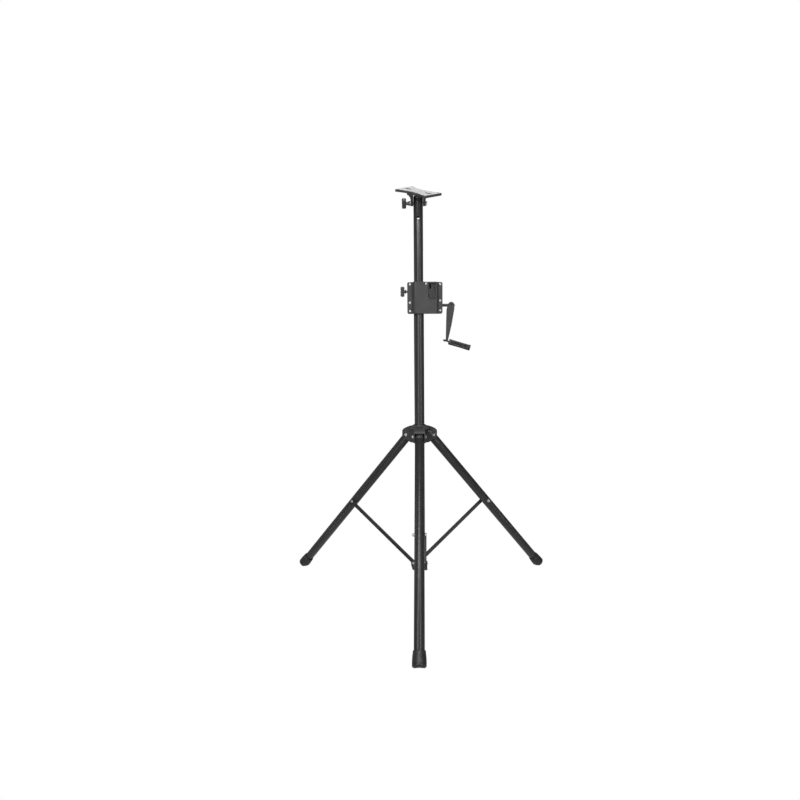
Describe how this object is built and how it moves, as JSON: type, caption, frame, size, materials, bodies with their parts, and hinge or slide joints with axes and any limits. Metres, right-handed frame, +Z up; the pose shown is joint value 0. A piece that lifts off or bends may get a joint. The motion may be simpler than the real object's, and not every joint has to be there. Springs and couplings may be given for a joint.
{
  "type": "speaker tripod stand",
  "caption": "Black crank-up tripod stand: folding braced legs, column with a sliding hub, a winch that lifts the mast, and a tilting bow-tie plate.",
  "frame": {"origin": "on the floor, on the axis of the column", "axes": "+Z up the column, -Y towards the front leg, +X towards the crank"},
  "size_m": [1.0922, 0.9568, 1.5753],
  "materials": {
    "tube_black": "satin black powder coat",
    "cast_black": "fine textured black powder coat",
    "plate_paint": "satin black powder coat",
    "black_plastic": "fine moulded texture",
    "boot_rubber": "matte black rubber",
    "zinc_steel": "zinc plated",
    "black_steel": "blackened steel",
    "gear_steel": "machined"
  },
  "bodies": {
    "column": {"column_tube": "tube_black", "column_end_cap": "black_plastic", "brace_collar": "cast_black", "collar_screw": "zinc_steel", "lower_brace_bolts": "zinc_steel", "winch_case_back": "cast_black", "winch_case_cover": "cast_black", "winch_cover_screws": "zinc_steel", "column_set_screws": "zinc_steel", "mast_guide_bush": "black_plastic", "crank_shaft_bushes": "black_plastic", "wheel_axle_bushes": "black_plastic", "mast_clamp_pad": "black_plastic"},
    "mast": {"mast_tube": "tube_black", "mast_glide": "black_plastic", "mast_top_plug": "black_plastic"},
    "head": {"head_yoke": "cast_black", "top_plate": "plate_paint", "plate_screws": "zinc_steel", "tilt_bolt": "zinc_steel", "tilt_washer": "zinc_steel"},
    "tilt_knob": {"tilt_knob": "black_plastic"},
    "lift_wheel": {"lift_sprocket": "gear_steel", "worm_wheel": "gear_steel", "wheel_axle": "zinc_steel"},
    "crank": {"crank_worm": "gear_steel", "crank_shaft": "black_steel", "crank_arm": "cast_black", "crank_end_screw": "zinc_steel", "crank_side_rivet": "black_steel", "crank_grip_pin": "black_steel", "crank_grip_nut": "black_steel"},
    "grip": {"crank_grip": "black_plastic"},
    "lock_slider": {"lock_slider": "black_plastic"},
    "mast_clamp": {"mast_clamp_screw": "black_steel", "mast_clamp_knob": "black_plastic"},
    "hub": {"hub_casting": "cast_black", "hub_pivot_bolts": "zinc_steel", "hub_pivot_nuts": "zinc_steel", "hub_clamp_pad": "black_plastic"},
    "hub_clamp": {"hub_clamp_knob": "black_plastic", "hub_clamp_screw": "zinc_steel"},
    "front_leg": {"front_leg_tube": "tube_black", "front_leg_eye": "cast_black", "front_leg_boot": "boot_rubber", "front_leg_brace_bolt": "zinc_steel"},
    "front_brace": {"front_brace": "cast_black", "front_brace_rivet": "zinc_steel"},
    "right_leg": {"right_leg_tube": "tube_black", "right_leg_eye": "cast_black", "right_leg_boot": "boot_rubber", "right_leg_brace_bolt": "zinc_steel"},
    "right_brace": {"right_brace": "cast_black", "right_brace_rivet": "zinc_steel"},
    "left_leg": {"left_leg_tube": "tube_black", "left_leg_eye": "cast_black", "left_leg_boot": "boot_rubber", "left_leg_brace_bolt": "zinc_steel"},
    "left_brace": {"left_brace": "cast_black", "left_brace_rivet": "zinc_steel"}
  },
  "joints": [
    {"name": "mast_lift", "type": "slide", "parent": "column", "child": "mast", "axis": [0, 0, 1], "range_m": [-0.17, 0.42]},
    {"name": "head_tilt", "type": "hinge", "parent": "mast", "child": "head", "pos_m": [0, 0, 1.5], "axis": [1, 0, 0], "range_deg": [-53, 7]},
    {"name": "tilt_knob_turn", "type": "hinge", "parent": "head", "child": "tilt_knob", "pos_m": [-0.04, 0, 1.5], "axis": [-1, 0, 0], "range_deg": [-360, 0]},
    {"name": "wheel_turn", "type": "hinge", "parent": "column", "child": "lift_wheel", "pos_m": [0.03342, 0, 1.15417], "axis": [0, 1, 0], "range_deg": [-618, 1518]},
    {"name": "crank_turn", "type": "hinge", "parent": "column", "child": "crank", "pos_m": [0.06, 0.012, 1.131], "axis": [1, 0, 0], "range_deg": [-12300, 30300]},
    {"name": "grip_turn", "type": "hinge", "parent": "crank", "child": "grip", "pos_m": [0.113, 0.012, 0.9943], "axis": [0.9578, 0, -0.2874], "continuous": true},
    {"name": "lock_slide", "type": "slide", "parent": "column", "child": "lock_slider", "axis": [0, 0, 1], "range_m": [-0.006, 0.018]},
    {"name": "mast_clamp_turn", "type": "hinge", "parent": "column", "child": "mast_clamp", "pos_m": [-0.04, 0, 1.181], "axis": [-1, 0, 0], "range_deg": [-360, 0]},
    {"name": "hub_slide", "type": "slide", "parent": "column", "child": "hub", "axis": [0, 0, 1], "range_m": [0, 0.2579]},
    {"name": "hub_clamp_turn", "type": "hinge", "parent": "hub", "child": "hub_clamp", "pos_m": [0.03447, -0.0203, 0.65], "axis": [0.8616, -0.5075, 0], "range_deg": [0, 360]},
    {"name": "front_leg_fold", "type": "hinge", "parent": "hub", "child": "front_leg", "pos_m": [-0.00042, -0.048, 0.636], "axis": [1, -0.0087, 0], "range_deg": [0, 41.78]},
    {"name": "front_brace_fold", "type": "hinge", "parent": "column", "child": "front_brace", "pos_m": [0.02036, -0.01618, 0.122], "axis": [-1, 0.0087, 0], "range_deg": [0, 49.89]},
    {"name": "right_leg_fold", "type": "hinge", "parent": "hub", "child": "right_leg", "pos_m": [0.04178, 0.02364, 0.636], "axis": [-0.4924, 0.8704, 0], "range_deg": [0, 41.78]},
    {"name": "right_brace_fold", "type": "hinge", "parent": "column", "child": "right_brace", "pos_m": [0.00383, 0.02572, 0.122], "axis": [0.4924, -0.8704, 0], "range_deg": [0, 49.89]},
    {"name": "left_leg_fold", "type": "hinge", "parent": "hub", "child": "left_leg", "pos_m": [-0.04136, 0.02436, 0.636], "axis": [-0.5075, -0.8616, 0], "range_deg": [0, 41.78]},
    {"name": "left_brace_fold", "type": "hinge", "parent": "column", "child": "left_brace", "pos_m": [-0.02419, -0.00954, 0.122], "axis": [0.5075, 0.8616, 0], "range_deg": [0, 49.89]}
  ],
  "couplings": [
    {"joint": "wheel_turn", "follows": "mast_lift", "rad_per_m": 62.832},
    {"joint": "crank_turn", "follows": "mast_lift", "rad_per_m": 1256.6},
    {"joint": "front_leg_fold", "follows": "hub_slide", "rad_per_m": 2.8271},
    {"joint": "front_brace_fold", "follows": "hub_slide", "rad_per_m": 3.3756},
    {"joint": "right_leg_fold", "follows": "hub_slide", "rad_per_m": 2.8271},
    {"joint": "right_brace_fold", "follows": "hub_slide", "rad_per_m": 3.3756},
    {"joint": "left_leg_fold", "follows": "hub_slide", "rad_per_m": 2.8271},
    {"joint": "left_brace_fold", "follows": "hub_slide", "rad_per_m": 3.3756}
  ]
}
